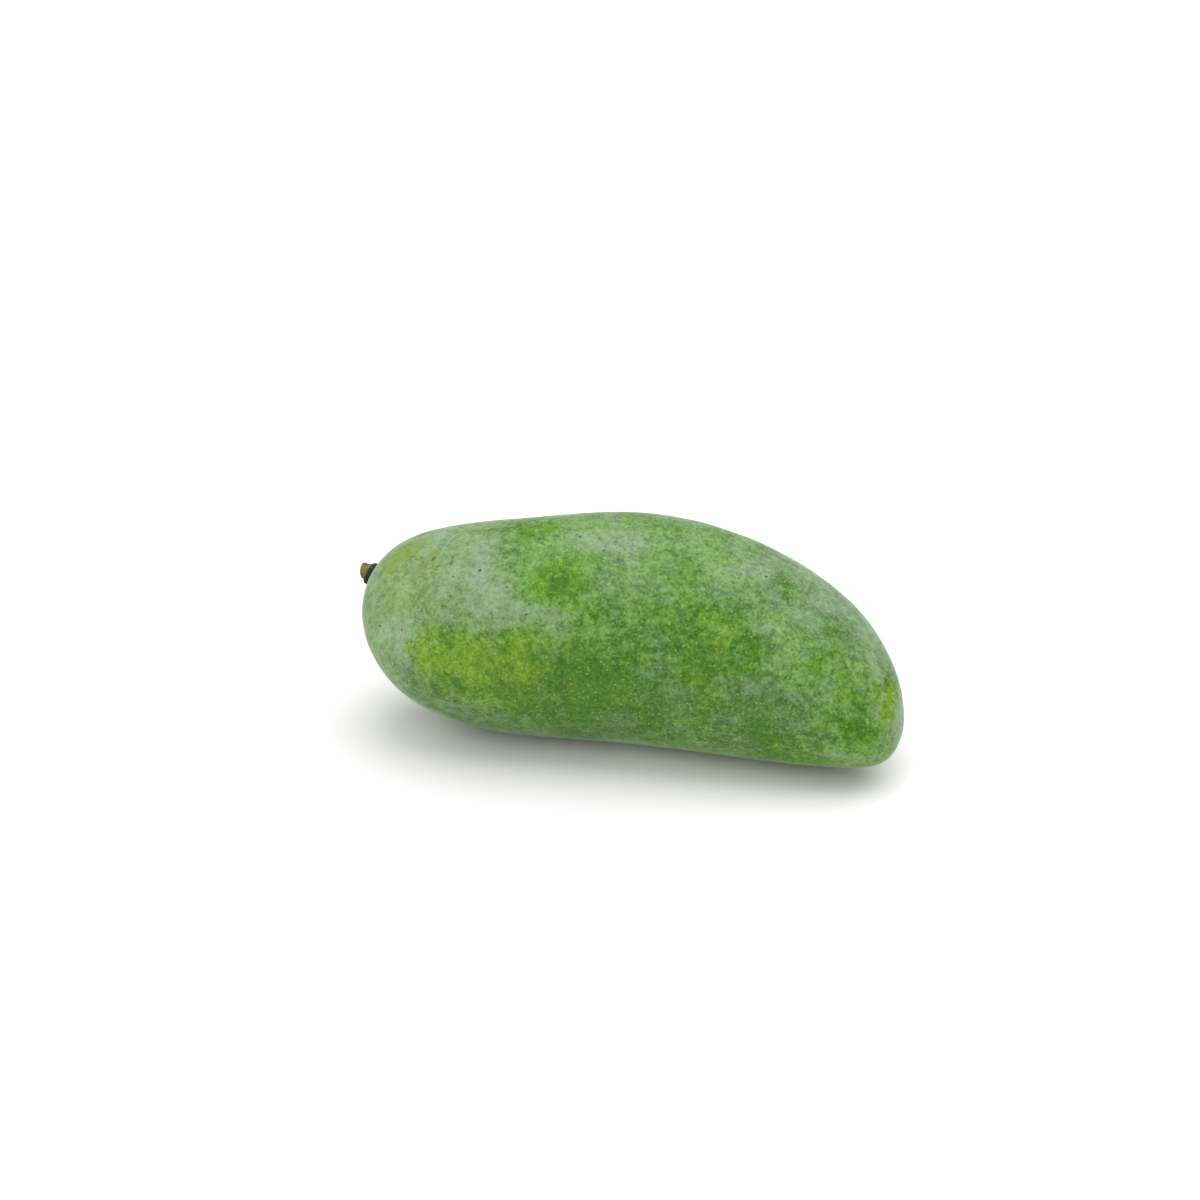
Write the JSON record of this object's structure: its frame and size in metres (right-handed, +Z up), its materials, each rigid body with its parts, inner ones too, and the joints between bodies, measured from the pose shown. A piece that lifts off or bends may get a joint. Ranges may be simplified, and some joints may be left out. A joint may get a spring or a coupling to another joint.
{
  "type": "mango",
  "caption": "Whole green mango with a short stalk stub, lying on one cheek on a small flat spot: a long fruit with a convex back, a nearly straight belly and a blunt beak.",
  "frame": {"origin": "on the surface the fruit lies on, under the middle of its bounding box", "axes": "+X along the fruit from the stem end to the apex, +Y away from the belly, towards the back, +Z up"},
  "size_m": [0.159, 0.0688, 0.0632],
  "materials": {
    "skin": "waxy satin green skin under a pale bloom, with fine pale dots",
    "bark": "dry dark bark with an olive cut end"
  },
  "bodies": {
    "root": {"fruit": "skin", "stem": "bark"}
  },
  "joints": []
}
